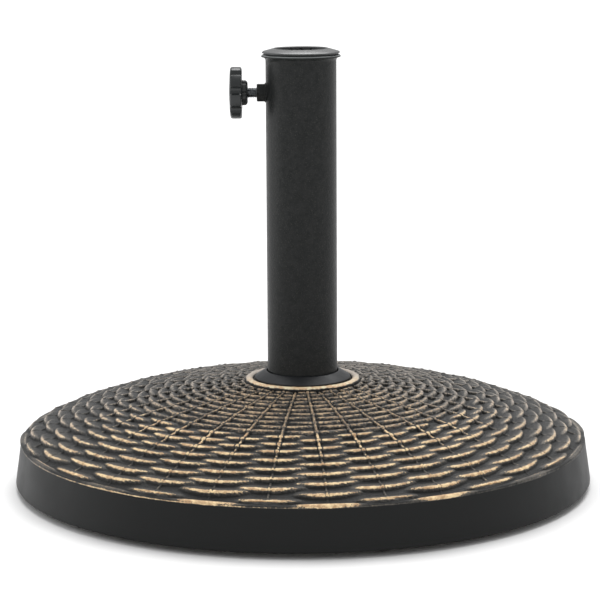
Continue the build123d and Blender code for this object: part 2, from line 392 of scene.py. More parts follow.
def powder_coat():
    """Black powder coat with a fine pebbled grain, and a painted highlight on the tube's lip."""
    paint = Finish("powder_coat")
    pebbles = paint.cells(1.5, feature="SMOOTH_F1")
    fine = paint.noise(0.8, detail=3)
    mottle = paint.noise(5, detail=4, rough=0.7)
    grain = paint.weighed(pebbles, 0.7, fine, 0.5)
    coat = paint.mix(paint.range(mottle, 0.3, 0.7), rgb(30, 32, 32), rgb(42, 43, 43))
    coat = paint.mix(paint.range(fine, 0.55, 0.72), coat, rgb(62, 62, 59))
    parts = paint.node("ShaderNodeSeparateXYZ", {"Vector": paint.place})
    # Painted highlight: a pale band at the top of the tube's lip
    painted_lip_highlight = paint.range(parts.outputs["Z"], (TUBE_TOP - 1.0) * MM, (TUBE_TOP - 0.4) * MM)
    coat = paint.mix(painted_lip_highlight, coat, rgb(150, 154, 154))
    return paint.shade(
        Base_Color=coat,
        Roughness=paint.range(mottle, 0.3, 0.7, 0.34, 0.44),
        Specular_IOR_Level=0.14,
        Normal=paint.bump(grain, 0.2),
    )


def moulded_plastic(name, dark, light, rough, grain_depth, shine=0.3):
    """Black moulded plastic with a fine spark-eroded grain."""
    plastic = Finish(name)
    cloud = plastic.noise(9, detail=3)
    fine = plastic.noise(0.35, detail=2)
    return plastic.shade(
        Base_Color=plastic.mix(cloud, dark, light),
        Roughness=plastic.range(cloud, 0.3, 0.7, rough - 0.04, rough + 0.05),
        Specular_IOR_Level=shine,
        Normal=plastic.bump(fine, grain_depth),
    )


def rubber():
    stuff = Finish("foot_rubber")
    dust = stuff.noise(3, detail=4, rough=0.7)
    return stuff.shade(
        Base_Color=stuff.mix(stuff.range(dust, 0.45, 0.75), rgb(26, 26, 26), rgb(58, 56, 52)),
        Roughness=stuff.range(dust, 0.3, 0.7, 0.75, 0.95),
        Normal=stuff.bump(stuff.noise(0.5, detail=2), 0.04),
    )


def cement():
    """Trowelled cement with air holes and sand, with painted shade in the holes."""
    stuff = Finish("cement")
    cloud = stuff.noise(40, detail=5, rough=0.6)
    sand = stuff.noise(1.2, detail=3, rough=0.7)
    holes = stuff.range(stuff.cells(11), 0.06, 0.16)
    shade = stuff.mix(stuff.range(cloud, 0.3, 0.7), rgb(126, 124, 118), rgb(164, 160, 151))
    shade = stuff.mix(stuff.range(sand, 0.35, 0.65), shade, rgb(150, 146, 137))
    pitted = stuff.weighed(sand, 0.25, cloud, 0.3)
    return stuff.shade(
        # Painted shade: the air holes are darker
        Base_Color=stuff.mix(holes, rgb(80, 78, 74), shade),
        Roughness=stuff.range(sand, 0.3, 0.7, 0.8, 0.95),
        Normal=stuff.bump(stuff.math("ADD", pitted, holes), 0.6),
    )


def steel(name, dark, light, rough):
    """Plated steel, faintly brushed and stained."""
    metal = Finish(name)
    stain = metal.noise(4, detail=4, rough=0.65)
    brushed = metal.noise(0.5, detail=2, where=metal.stretched(1, 1, 0.15))
    return metal.shade(
        Base_Color=metal.mix(metal.range(stain, 0.35, 0.7), dark, light),
        Metallic=0.95,
        Roughness=metal.range(stain, 0.3, 0.7, rough, rough + 0.14),
        Normal=metal.bump(brushed, 0.015),
    )


MATERIALS = {
    "weave": woven_paint("weave", 0.7, 1.0, 0.75, (196, 160, 122), (250, 222, 174)),
    "weave_centre": woven_paint("weave_centre", 0.84, 2.1, 0.9, (146, 122, 98), (212, 184, 146)),
    "bead": woven_paint("bead", 0.35, 0.9, 0.8, (230, 194, 154), (255, 242, 206)),
    "skirt": skirt_paint(),
    "coat": powder_coat(),
    "collar": moulded_plastic("collar_plastic", rgb(27, 29, 32), rgb(34, 36, 39), 0.45, 0.006),
    "reducer": moulded_plastic("reducer_plastic", rgb(38, 40, 42), rgb(48, 50, 51), 0.36, 0.01, 1),
    "knob": moulded_plastic("knob_plastic", rgb(30, 33, 34), rgb(42, 45, 46), 0.34, 0.012, 0.45),
    "cup": moulded_plastic("cup_plastic", rgb(30, 30, 30), rgb(38, 38, 38), 0.6, 0.01),
    "socket": moulded_plastic("socket_plastic", rgb(24, 24, 24), rgb(34, 34, 34), 0.6, 0.01),
    "pad": moulded_plastic("pad_nylon", rgb(40, 40, 40), rgb(54, 54, 54), 0.5, 0.01),
    "rubber": rubber(),
    "cement": cement(),
    "zinc": steel("zinc_steel", rgb(150, 150, 146), rgb(196, 195, 188), 0.3),
    "black_steel": steel("black_steel", rgb(96, 99, 101), rgb(160, 163, 165), 0.28),
}


# ---- Woven top ----------------------------------------------------------------------------

STAKES = 32
STAKE_PITCH = 360 / STAKES
FIRST_STAKE = -85.5
FLAT_DROP = 1.6
OUTER_ROWS = 16
OUTER_PITCH = 5.67
INNER_ROWS = 11
INNER_PITCH = 8.3
INNER_CLOSING = 0.02
RIM_ROW = 220.0
FIRST_ROW = 216.0
FIRST_INNER_ROW = 127.8
LAST_OUTER_ROW = FIRST_ROW - OUTER_PITCH * (OUTER_ROWS - 2)
ZONE_EDGE = (LAST_OUTER_ROW + FIRST_INNER_ROW) / 2
WEAVE_END = 43.4

# Distances along the surface where the stakes start to show as unbroken lines
STAKES_BROKEN = 176.0
STAKES_WHOLE = 148.0

row_radius = [RIM_ROW]
row_radius += [FIRST_ROW - OUTER_PITCH * i for i in range(OUTER_ROWS - 1)]
row_radius += [FIRST_INNER_ROW - INNER_PITCH * i + INNER_CLOSING * i**2 for i in range(INNER_ROWS)]
row_radius = np.array(row_radius)
rng = np.random.default_rng(11)
jitter = rng.normal(size=(4, len(row_radius), STAKES))

# Rim corner: a curve from the dome's edge, by way of a control point, to the top of the skirt
CORNER_START = 216.6
CORNER_PEAK = (220.2, 37.9)
CORNER_END = (220.7, 35.5)
CORNER_LENGTH = 5.4

# One strand's raised stretch: half lengths in stake pitches, then millimetres. It falls steeply
# on the outer side and gently on the inner.
STRANDS = {
    "rim": {"left": 0.64, "right": 0.66, "outer": 3.3, "inner": 3.6, "tall": 1.2},
    "first": {"left": 0.53, "right": 0.60, "outer": 2.1, "inner": 5.0, "tall": 2.6},
    "outer": {"left": 0.58, "right": 0.67, "outer": 2.1, "inner": 7.2, "tall": 2.9},
    "inner": {"left": 0.88, "right": 0.94, "outer": 2.6, "inner": 5.0, "tall": 2.6},
}

# How far a strand's ends bow inwards and how far it tilts, in millimetres, what share of its
# height is left at its ends, and how far the paint reaches inwards from its crest
BOW = {"rim": 0.2, "first": 1.6, "outer": 2.9, "inner": 1.0}
TILT = {"rim": 0.2, "first": 0.6, "outer": 0.9, "inner": 0.4}
LOW = {"rim": 0.0, "first": 0.0, "outer": 0.0, "inner": 0.6}
PAINT_REACH = {"rim": 8.5, "first": 2.5, "outer": 2.3, "inner": 1.9}
BOW_AT = 0.6

# Random differences between strands: shares of length and height, and millimetres
LENGTH_VARIES = 0.04
HEIGHT_VARIES = 0.06
ROW_WANDERS = 0.25

# Shape of a strand: how bluntly it ends, how narrow its ends are, and the fall of its sides
BLUNT_LEFT = 2.6
BLUNT_RIGHT = 2.0
OUTER_AT_ENDS = 0.4
INNER_AT_ENDS = 0.35
FLANK_FALL = 1.7
HEIGHT_FALL = 0.9
ROW_REACH = 13.0

# Where the paint of a strand fades: over its outer side, along its inner side and at its ends
PAINT_LEAST = 0.45
PAINT_FALL = 1.5
PAINT_AT_ENDS = 0.15
PAINT_OF_BODY = 0.42

# The trench outside each strand, and the notch beside each stake
TRENCH_DEPTH = 1.0
TRENCH_WIDTH = 1.7
TRENCH_INSET = 0.8
OPEN_BELOW = 1.2
NOTCH_DEPTH = 0.3
NOTCH_ASIDE = 0.65
NOTCH_WIDTH = 0.5
NOTCH_FULL = 2.2
NOTCH_LEAST = 0.3

# A stake's half width, and the height and paint it has, less what it loses as it dives under
STAKE_WIDTH = 1.4
STAKE_BROKEN = {"high": 2.1, "dives": 1.5, "paint": 0.82, "fades": 0.4}
STAKE_WHOLE = {"high": 2.5, "dives": 0.5, "paint": 0.95, "fades": 0.0}
KNUCKLE = 0.5

# Directions, in degrees, where the bronze line along the rim's edge is brightest, and where the rim
# row keeps its full paint as painted front light
EDGE_LINE_AIM = -128.0
EDGE_LINE_INSET = 0.6
EDGE_LINE_WIDTH = 0.65
RIM_LIT_AIM = -84.0
RIM_UNLIT_PAINT = 0.55


def strand_kind(row):
    if row == 0:
        return "rim"
    if row == 1:
        return "first"
    return "outer" if row < OUTER_ROWS else "inner"


def base_surface(place):
    """(radius, height, outward normal) of the flats, place millimetres out along the surface."""
    start = np.array((CORNER_START, dome_height(CORNER_START) - FLAT_DROP))
    peak, end = np.array(CORNER_PEAK), np.array(CORNER_END)
    t = np.clip((place - CORNER_START) / CORNER_LENGTH, 0, 1)[..., None]
    corner = (1 - t) ** 2 * start + 2 * t * (1 - t) * peak + t**2 * end
    corner_way = (1 - t) * (peak - start) + t * (end - peak)
    inside = np.minimum(place, CORNER_START)
    dome = np.stack((inside, dome_height(inside) - FLAT_DROP), -1)
    step = 0.5
    slope = (dome_height(inside) - dome_height(inside - step)) / step
    dome_way = np.stack((np.ones_like(slope), slope), -1)
    on_dome = (place < CORNER_START)[..., None]
    point = np.where(on_dome, dome, corner)
    way = np.where(on_dome, dome_way, corner_way)
    way = way / np.linalg.norm(way, axis=-1, keepdims=True)
    normal = np.stack((-way[..., 1], way[..., 0]), -1)
    return point[..., 0], point[..., 1], normal


def strand(row, place, turns):
    """(height, paint, trench) of one row's raised stretches. turns counts stakes round the disc."""
    kind = strand_kind(row)
    size, low_end = STRANDS[kind], LOW[kind]
    stake = np.round((turns - row) / 2).astype(int) * 2 + row
    along = turns - stake
    varied = jitter[:, row, :][:, np.mod(stake, STAKES)]
    left = size["left"] * (1 + LENGTH_VARIES * varied[0])
    right = size["right"] * (1 + LENGTH_VARIES * varied[1])
    share = np.clip(np.where(along < 0, -along / left, along / right), 0, 1)
    blunt = np.where(along < 0, BLUNT_LEFT, BLUNT_RIGHT)
    swell = np.sqrt(1 - share**blunt)
    bend = BOW[kind] * (along / BOW_AT) ** 2 + TILT[kind] * along
    centre = row_radius[row] - bend + ROW_WANDERS * varied[2]
    aside = place - centre
    outer_width = size["outer"] * (OUTER_AT_ENDS + (1 - OUTER_AT_ENDS) * swell)
    outer = np.sqrt(np.clip(1 - (aside / outer_width) ** 2, 0, 1))
    inner_width = size["inner"] * (INNER_AT_ENDS + (1 - INNER_AT_ENDS) * swell)
    flank = 1 - np.clip(-aside / inner_width, 0, 1) ** FLANK_FALL
    section = np.where(aside > 0, outer, flank)
    body = low_end + (1 - low_end) * swell**HEIGHT_FALL
    height = size["tall"] * (1 + HEIGHT_VARIES * varied[3]) * body * section
    behind_crest = 1 - np.clip(-aside / PAINT_REACH[kind], 0, 1) ** PAINT_FALL
    before_crest = np.clip((outer - PAINT_LEAST) / PAINT_LEAST, 0, 1)
    paint = np.where(aside > 0, before_crest, behind_crest)
    paint = paint * (PAINT_AT_ENDS + (1 - PAINT_AT_ENDS) * body)
    paint = np.maximum(paint, PAINT_OF_BODY * body * section)
    gap = np.clip(aside - outer_width, -TRENCH_INSET, None)
    trench = np.exp(-((gap / TRENCH_WIDTH) ** 2)) * swell * (aside > 0)
    return height, paint, trench


def strands(place, turns):
    """(height, paint, trench) of all the rows together, with the highest strand on top."""
    height = np.zeros_like(place)
    paint = np.zeros_like(place)
    trench = np.zeros_like(place)
    for row in range(len(row_radius)):
        near = np.abs(place - row_radius[row]) < ROW_REACH
        if not near.any():
            continue
        row_height, row_paint, row_trench = strand(row, place[near], turns[near])
        higher = row_height > height[near]
        height[near] = np.where(higher, row_height, height[near])
        paint[near] = np.where(higher, row_paint, paint[near])
        trench[near] = np.maximum(trench[near], row_trench)
    return height, paint, trench


def stake_scale(place):
    """A stake's width as a share of STAKE_WIDTH: widest halfway out, least at the rim."""
    centre = 0.72 + 0.28 * np.clip((place - 60) / 80, 0, 1)
    return centre - 0.36 * np.clip((place - 140) / 40, 0, 1)


def stakes(place, turns):
    """(height, paint, whole) of a stake's middle. It dives under a row, least where whole is 1."""
    inside = place < ZONE_EDGE
    pitch = np.where(inside, INNER_PITCH, OUTER_PITCH)
    first = np.where(inside, FIRST_INNER_ROW, FIRST_ROW)
    rows_in = (first - place) / pitch + np.where(inside, OUTER_ROWS, 1)
    cycle = np.mod(rows_in - np.round(turns).astype(int), 2) / 2
    whole = np.clip((STAKES_BROKEN - place) / (STAKES_BROKEN - STAKES_WHOLE), 0, 1)

    def blended(start, loss):
        broken = STAKE_BROKEN[start] - STAKE_BROKEN[loss] * cycle
        return (1 - whole) * broken + whole * (STAKE_WHOLE[start] - STAKE_WHOLE[loss] * cycle)

    return blended("high", "dives"), blended("paint", "fades"), whole


def rim_front_light(place, angle):
    """Share of the paint left on each strand: the rim row has its full share at the front only, as
    painted front light.
    """
    # Painted front light: the rim row keeps its full bronze only towards the front
    ahead = np.cos(angle - np.radians(RIM_LIT_AIM))
    brushed = np.clip((ahead - 0.8) / 0.08, 0, 1)
    left = RIM_UNLIT_PAINT + (1 - RIM_UNLIT_PAINT) * brushed
    return np.where(place > (RIM_ROW + FIRST_ROW) / 2, left, 1)


def rim_edge_line(place, angle):
    """The relief_and_shade value of the bronze line along the rim's edge, brightest on the front
    left.
    """
    aside = place - CORNER_START - CORNER_LENGTH + EDGE_LINE_INSET
    line = np.exp(-((aside / EDGE_LINE_WIDTH) ** 2))
    aimed = np.clip(np.cos(angle - np.radians(EDGE_LINE_AIM)), 0, 1)
    return (0.3 + 0.7 * aimed**2) * line


def weave(place, turns, lateral):
    """(height above the flats, relief_and_shade from 0 in the gaps to 1 on the crests, negative as
    painted shade in the trenches and notches) of the woven top.
    """
    angle = np.radians(FIRST_STAKE + STAKE_PITCH * turns)
    fade = np.clip((FIRST_ROW + 0.5 - place) / 5, 0, 1)
    height, paint, trench = strands(place, turns)
    paint = paint * rim_front_light(place, angle)
    open_ground = 1 - np.clip(height / OPEN_BELOW, 0, 1)
    height = height - TRENCH_DEPTH * trench * open_ground

    scale = stake_scale(place)
    stake_width = STAKE_WIDTH * scale
    middle_height, middle_paint, whole = stakes(place, turns)
    round_top = np.sqrt(np.clip(1 - (lateral / stake_width) ** 2, 0, 1)) * fade
    stake_height = middle_height * round_top
    shows = stake_height > height
    knuckle = KNUCKLE * round_top * np.clip(height - 1, 0, 1)
    height = np.where(shows, stake_height, height + knuckle)
    paint = np.where(shows, middle_paint * round_top, paint)

    beside = np.abs(lateral) - stake_width - NOTCH_ASIDE * scale
    notch = np.exp(-((beside / (NOTCH_WIDTH * scale)) ** 2)) * fade
    notch = notch * np.maximum(whole, np.clip(height / NOTCH_FULL, NOTCH_LEAST, 1))
    height = height - NOTCH_DEPTH * notch
    # Painted shade: the trenches and notches give relief_and_shade a negative value, which the
    # paint turns near black
    painted_shade = np.maximum(trench * open_ground, notch * (0.1 + 0.2 * whole))
    cut = paint * (1 - (0.2 + 0.3 * whole) * notch)
    relief_and_shade = np.where(shows, paint - 0.3 * painted_shade, cut - painted_shade)
    return height, np.clip(np.maximum(relief_and_shade, rim_edge_line(place, angle)), -1, 1)


def zone_columns(place):
    """(turns, lateral) of every grid column at each distance from the axis.

    Columns crowd round each stake at fixed distances from it and spread evenly between stakes.
    """
    half = np.array((0.5, 1.0, 1.4, 1.75, 2.1, 2.5, 3.0))
    near = np.concatenate((-half[::-1], (0.0,), half))
    between = 14
    size = 0.7 + 0.3 * np.clip((place - 60) / 120, 0, 1)
    cell = np.radians(STAKE_PITCH) * place
    close = near[None, :] * size[:, None]
    edge = close[:, -1:]
    share = (np.arange(between) + 1) / (between + 1)
    far = edge + share[None, :] * (cell[:, None] - 2 * edge)
    offsets = np.concatenate((close, far), 1)
    turns = offsets / cell[:, None]
    turns = (turns[:, None, :] + np.arange(STAKES)[None, :, None]).reshape(len(place), -1)
    lateral = (turns - np.round(turns)) * cell[:, None]
    return turns, lateral


def woven_zone(name, places):
    """One ring of the woven top, displaced from the flats along their normal."""
    turns, lateral = zone_columns(places)
    place = np.repeat(places[:, None], turns.shape[1], axis=1)
    height, relief_and_shade = weave(place, turns, lateral)
    fade_out = np.clip((CORNER_START + CORNER_LENGTH - place) / 1.2, 0, 1)
    height = height * fade_out * np.clip((place - WEAVE_END) / 3, 0, 1)
    radius, z, normal = base_surface(place)
    angle = np.radians(FIRST_STAKE + STAKE_PITCH * turns)
    radius = radius + normal[..., 0] * height
    z = z + normal[..., 1] * height
    points = np.stack((radius * np.cos(angle), radius * np.sin(angle), z), -1)
    faces = grid_faces(len(places), turns.shape[1])
    return mesh_object(name, points.reshape(-1, 3), faces, relief_and_shade=relief_and_shade, crease=80)


def woven_top():
    outer_samples = 7 * (OUTER_ROWS + 1)
    outer = np.linspace(ZONE_EDGE, CORNER_START + CORNER_LENGTH, outer_samples)
    inner = np.linspace(WEAVE_END, ZONE_EDGE, 9 * INNER_ROWS)
    outer_zone = woven_zone("weave_outer", outer)
    inner_zone = woven_zone("weave_inner", inner)
    add_piece(outer_zone, "base", "shell_resin", MATERIALS["weave"], "resin_shell")
    add_piece(inner_zone, "base", "shell_resin", MATERIALS["weave_centre"])


# ---- Rest of the shell --------------------------------------------------------------------

BEAD_OUTER = 45.6
BEAD_INNER = 37.9
BEAD_TOP = 82.9
BEAD_WAVES = 14
BEAD_LUMP_OUT = 0.16
BEAD_LUMP_UP = 0.05

# relief_and_shade runs from -BEAD_RELIEF_DROP at the bead's foot up to RISE - DROP on its top; its
# negative lower part turns near black as painted shade
BEAD_RELIEF_RISE = 3.2
BEAD_RELIEF_DROP = 2.1
BEAD_SEAT_RELIEF = 0.2


def shell_skirt():
    """Drafted side of the shell down to its bottom edge and back up inside the rim."""
    inner = 218.5
    outline = [
        CORNER_END,
        (220.85, 33.6),
        (DISC_RADIUS - 0.15, SHELL_BOTTOM + 2.2),
        (DISC_RADIUS - 0.05, SHELL_BOTTOM + 1.2),
        (DISC_RADIUS - 0.5, SHELL_BOTTOM + 0.35),
        (DISC_RADIUS - 1.3, SHELL_BOTTOM),
        (inner, SHELL_BOTTOM),
        (inner - 0.4, FOOT_TOP + 1),
        (inner - 4, 28.0),
    ]
    skirt = lathe("shell_skirt", outline, segments=512)
    add_piece(skirt, "base", "shell_resin", MATERIALS["skirt"])


def bead_ring():
    """Raised, slightly lumpy ring round the collar, with the collar's seat inside it."""
    steps = 22
    sweep = np.linspace(0, math.pi, steps)
    middle, half = (BEAD_OUTER + BEAD_INNER) / 2, (BEAD_OUTER - BEAD_INNER) / 2
    foot = dome_height(BEAD_OUTER) - FLAT_DROP - 0.8
    arch = [
        (middle + half * math.cos(a), foot + (BEAD_TOP - foot) * math.sin(a) ** 0.7) for a in sweep
    ]
    outline = arch + [
        (BEAD_INNER, COLLAR_BOTTOM),
        (SOCKET_RADIUS + 0.1, COLLAR_BOTTOM),
        (SOCKET_RADIUS + 0.1, COLLAR_BOTTOM - 8),
        (BEAD_OUTER, COLLAR_BOTTOM - 8),
    ]
    waves = np.random.default_rng(4)
    strength = waves.normal(size=BEAD_WAVES)
    phase = waves.uniform(0, TURN, BEAD_WAVES)

    def bend(radius, height, angle):
        lump = sum(
            s / (k + 3) ** 0.4 * np.sin((5 * k + 7) * angle + p)
            for k, (s, p) in enumerate(zip(strength, phase))
        )
        outside = np.clip((radius - middle) / half, 0, 1)
        proud = np.clip((height - foot) / (BEAD_TOP - foot), 0, 1)
        return radius + BEAD_LUMP_OUT * lump * outside, height + BEAD_LUMP_UP * lump * proud

    ring = lathe("bead_ring", outline, segments=512, bend=bend)
    layer = ring.data.attributes.new("relief_and_shade", "FLOAT", "POINT")
    points = np.zeros(len(ring.data.vertices) * 3)
    ring.data.vertices.foreach_get("co", points)
    points = points.reshape(-1, 3) / MM
    radius = np.hypot(points[:, 0], points[:, 1])
    # Painted shade: the lower part of the bead goes negative and turns near black
    proud = BEAD_RELIEF_RISE * (points[:, 2] - foot) / (BEAD_TOP - foot) - BEAD_RELIEF_DROP
    relief_and_shade = np.where(radius > BEAD_INNER + 0.1, proud, BEAD_SEAT_RELIEF)
    layer.data.foreach_set("value", relief_and_shade.astype(np.float32))
    add_piece(ring, "base", "shell_resin", MATERIALS["bead"])


# ---- Underside ----------------------------------------------------------------------------

FOOT_COUNT = 6
FOOT_RADIUS = 15.0
HEX_SEGMENTS = 96
THREAD_COLUMNS = 48
BOLT_HEAD = 7.5
BOLT_RADIUS = 6.0
BOLT_THREAD = {"pitch": 1.75, "depth": 0.9}
SCREW_HEAD = 5.3
SCREW_FLATS = 13.0
SCREW_RADIUS = 4.0
SCREW_THREAD = {"pitch": 1.25, "depth": 0.68}
SPIGOT_BORE = 1.3


def hexagon_prism(name, flats, start, end, chamfer, axis):
    """Hexagonal prism with turned-off corners at both ends."""
    segments = HEX_SEGMENTS
    angles = np.arange(segments) / segments * TURN
    wedge = np.mod(angles + TURN / 12, TURN / 6) - TURN / 12
    hexagon = flats / 2 / np.cos(wedge)
    cap = flats / 2 * 0.97
    rings = [
        (0.0, start),
        (cap, start),
        (None, start + chamfer),
        (None, end - chamfer),
        (cap, end),
        (0.0, end),
    ]
    points = []
    corner = flats / 2 / math.cos(TURN / 12)
    for radius, height in rings:
        if radius is None:
            across = hexagon
            tall = np.full(segments, height)
            drop = chamfer * (1 - (corner - hexagon) / (corner - flats / 2))
            tall = tall - (chamfer - drop) * (1 if height < (start + end) / 2 else -1)
        else:
            across = np.full(segments, radius)
            tall = np.full(segments, height)
        turned = angles + (TURN / 4 if axis == "X" else 0)
        points.append(around(axis, tall, across, turned))
    points = np.concatenate(points)
    return mesh_object(name, points, grid_faces(len(rings), segments), crease=25)


def thread(name, radius, cut, start, end, axis, bore=0.0):
    """A shank with a helical thread, easing off at both ends."""
    pitch, depth = cut["pitch"], cut["depth"]
    columns = THREAD_COLUMNS
    turns = (end - start) / pitch
    rows = int(turns * 10) + 1
    height = np.linspace(start, end, rows)
    angles = np.arange(columns) / columns * TURN
    along, angle = np.meshgrid(height, angles, indexing="ij")
    phase = np.mod(along / pitch - angle / TURN, 1)
    groove = depth * (1 - np.abs(2 * phase - 1))
    ease = np.clip(np.minimum(along - start, end - along) / (0.8 * pitch), 0, 1)
    across = radius - groove * np.where(ease < 1, np.maximum(ease, 0.6), 1) - depth * (1 - ease)
    tip = np.full((1, columns), bore)
    across = np.concatenate((tip, across, tip))
    along = np.concatenate((along[:1], along, along[-1:]))
    angle = np.concatenate((angle[:1], angle, angle[-1:]))
    points = around(axis, along, across, angle).reshape(-1, 3)
    return mesh_object(name, points, grid_faces(rows + 2, columns), crease=30)


def anchor_bolt():
    top = BOLT_BOTTOM + BOLT_HEAD
    head = hexagon_prism("bolt_head", BOLT_FLATS, BOLT_BOTTOM, top, 0.8, "Z")
    shank = thread("bolt_shank", BOLT_RADIUS, BOLT_THREAD, top, BOLT_TOP, "Z")
    bolt = joined("anchor_bolt_threaded", [head, shank])
    add_piece(bolt, "base", "zinc_steel", MATERIALS["zinc"], "anchor_bolt")


def rubber_feet():
    """Six pads with a moulded ring and a dished face."""
    pad_radius = FOOT_RADIUS
    circle = FOOT_REACH - FOOT_RADIUS
    face = [
        (0.01, 0.5),
        (4.5, 0.5),
        (5.2, 0.0),
        (pad_radius - 4.2, 0.0),
        (pad_radius - 3.6, 0.6),
        (pad_radius - 2.8, 0.6),
        (pad_radius - 2.2, 0.0),
        (pad_radius - 0.7, 0.0),
        (pad_radius - 0.15, 0.35),
        (pad_radius, 1.0),
        (pad_radius, FOOT_TOP),
        (0.01, FOOT_TOP),
    ]
    pads = []
    for i in range(FOOT_COUNT):
        pad = lathe(f"pad_{i}", face, segments=64)
        angle = TURN * i / FOOT_COUNT
        middle = (circle * MM * math.cos(angle), circle * MM * math.sin(angle), 0)
        pad.data.transform(Matrix.Translation(middle))
        pads.append(pad)
    feet = joined("rubber_feet_moulded", pads)
    add_piece(feet, "base", "foot_rubber", MATERIALS["rubber"], "rubber_feet")


# ---- Tube ---------------------------------------------------------------------------------


def flare_wave(radius, height, angle):
    """Slight unevenness of the rolled mouth."""
    share = np.clip((height - (TUBE_TOP - FLARE_HEIGHT)) / FLARE_HEIGHT, 0, 1)
    wave = 0.16 * np.sin(3 * angle + 0.6) + 0.1 * np.sin(7 * angle + 2.1)
    return radius, height + np.minimum(wave, 0.0) * share**2


def pole_tube():
    inner = TUBE_RADIUS - TUBE_WALL
    start = TUBE_TOP - FLARE_HEIGHT
    bell = [
        (TUBE_RADIUS + FLARE_BEND * (1 - math.cos(a)), start + FLARE_BEND * math.sin(a))
        for a in np.linspace(0.05, math.pi / 2 * 0.95, 8)
    ]
    outline = [
        (inner, TUBE_BOTTOM),
        (TUBE_RADIUS, TUBE_BOTTOM),
        (TUBE_RADIUS, start),
        *bell,
        (FLARE_RADIUS - 0.05, TUBE_TOP - 1.7),
        (FLARE_RADIUS, TUBE_TOP - 1.4),
        (FLARE_RADIUS - 0.08, TUBE_TOP - 1.0),
        (FLARE_RADIUS - 0.3, TUBE_TOP - 0.6),
        (FLARE_RADIUS - 0.7, TUBE_TOP - 0.25),
        (FLARE_RADIUS - 1.2, TUBE_TOP),
        (FLARE_RADIUS - 1.9, TUBE_TOP - 0.1),
        (FLARE_RADIUS - 2.6, TUBE_TOP - 0.9),
        (inner + 0.7, start + 2.2),
        (inner + 0.1, start + 0.8),
        (inner, start),
    ]
    tube = lathe("pole_tube_coated", outline, segments=256, bend=flare_wave)
    add_piece(tube, "base", "powder_coat", MATERIALS["coat"], "pole_tube")


WELD_STEPS = 72
WELD_SIDES = 10
WELD_SIZE = 0.75
WELD_RIPPLE = 0.12
WELD_WOBBLE = 0.06
NUT_SUNK = 1.6


def nut_weld():
    """Rippled weld bead that follows the tube's curve round the nut."""
    bead_radius = NUT_FLATS / 2 * 1.04
    points = []
    wobble = np.random.default_rng(3).normal(size=WELD_STEPS) * WELD_WOBBLE
    for i in range(WELD_STEPS):
        a = TURN * i / WELD_STEPS
        y, z = bead_radius * math.cos(a), bead_radius * math.sin(a)
        x = -math.sqrt(TUBE_RADIUS**2 - y**2)
        size = WELD_SIZE + wobble[i] + WELD_RIPPLE * math.sin(11 * a)
        for j in range(WELD_SIDES):
            b = TURN * j / WELD_SIDES
            out = size * math.cos(b)
            height = CLAMP_HEIGHT + z + out * math.sin(a)
            points.append((x + size * math.sin(b), y + out * math.cos(a), height))
    return mesh_object("nut_weld", points, grid_faces(WELD_STEPS, WELD_SIDES, closed=True))


def clamp_nut():
    """Nut with a weld bead where it meets the tube."""
    nut = hexagon_prism("nut_block", NUT_FLATS, NUT_FACE, NUT_SUNK - TUBE_RADIUS, 0.8, "X")
    welded = joined("clamp_nut_welded", [nut, nut_weld()])
    add_piece(welded, "base", "powder_coat", MATERIALS["coat"], "clamp_nut")


COLLAR_TOP_RADIUS = 29.3
COLLAR_BORE = 28.0
COLLAR_WALL = 2.2


def base_collar():
    outline = rounded(
        [
            (COLLAR_RADIUS, COLLAR_BOTTOM),
            (COLLAR_RADIUS, COLLAR_BOTTOM + 1.8),
            (COLLAR_TOP_RADIUS, COLLAR_TOP),
            (COLLAR_BORE, COLLAR_TOP),
            (COLLAR_BORE, COLLAR_TOP - COLLAR_WALL),
            (COLLAR_RADIUS - COLLAR_WALL, COLLAR_BOTTOM),
        ],
        0.5,
    )
    collar = lathe("base_collar_moulded", outline, segments=256)
    add_piece(collar, "collar", "collar_plastic", MATERIALS["collar"], "base_collar")


FLUTES = 16
FLUTE_DEPTH = 1.3
FLUTE_START = 2.0
FLUTE_ARCH = 2.2


def pole_reducer():
    """Flanged bush whose bore is fluted below a plain lip."""
    sleeve = TUBE_RADIUS - TUBE_WALL - 0.2
    outline = rounded(
        [
            (POLE_RADIUS, REDUCER_BOTTOM),
            (sleeve - 1, REDUCER_BOTTOM),
            (sleeve, REDUCER_BOTTOM + 1),
            (sleeve, TUBE_TOP - FLARE_HEIGHT),
            (28.0, TUBE_TOP + 0.1),
            (28.3, TUBE_TOP + 1.1),
            (FLANGE_RADIUS - 0.35, TUBE_TOP + 1.1),
            (FLANGE_RADIUS, TUBE_TOP + 1.4),
            (FLANGE_RADIUS - 0.05, REDUCER_TOP - 3.2),
            (FLANGE_RADIUS - 0.3, REDUCER_TOP - 2.75),
            (FLANGE_RADIUS - 0.9, REDUCER_TOP - 2.3),
            (POLE_RADIUS + 0.9, REDUCER_TOP),
            (POLE_RADIUS, REDUCER_TOP - 0.9),
            (POLE_RADIUS, REDUCER_TOP - 2.2),
            (POLE_RADIUS, REDUCER_TOP - 2.6),
            (POLE_RADIUS, REDUCER_TOP - 3.2),
            (POLE_RADIUS, REDUCER_TOP - 4.2),
            (POLE_RADIUS, REDUCER_TOP - 6.0),
        ],
        0.3,
        steps=3,
    )

    def bend(radius, height, angle):
        wave = np.cos(FLUTES * (angle - math.pi / 2)) * 0.5 + 0.5
        arch_top = REDUCER_TOP - FLUTE_START - FLUTE_ARCH * (1 - wave)
        deep = np.clip((arch_top - height) / 0.5, 0, 1) * (wave > 0.15)
        in_bore = radius < POLE_RADIUS + 0.05
        above_foot = np.clip((height - REDUCER_BOTTOM) / 1.5, 0, 1)
        return radius + np.where(in_bore, FLUTE_DEPTH * wave**0.5 * deep * above_foot, 0), height

    bush = lathe("pole_reducer_moulded", outline, segments=320, bend=bend, crease=50)
    add_piece(bush, "reducer", "reducer_plastic", MATERIALS["reducer"], "pole_reducer")


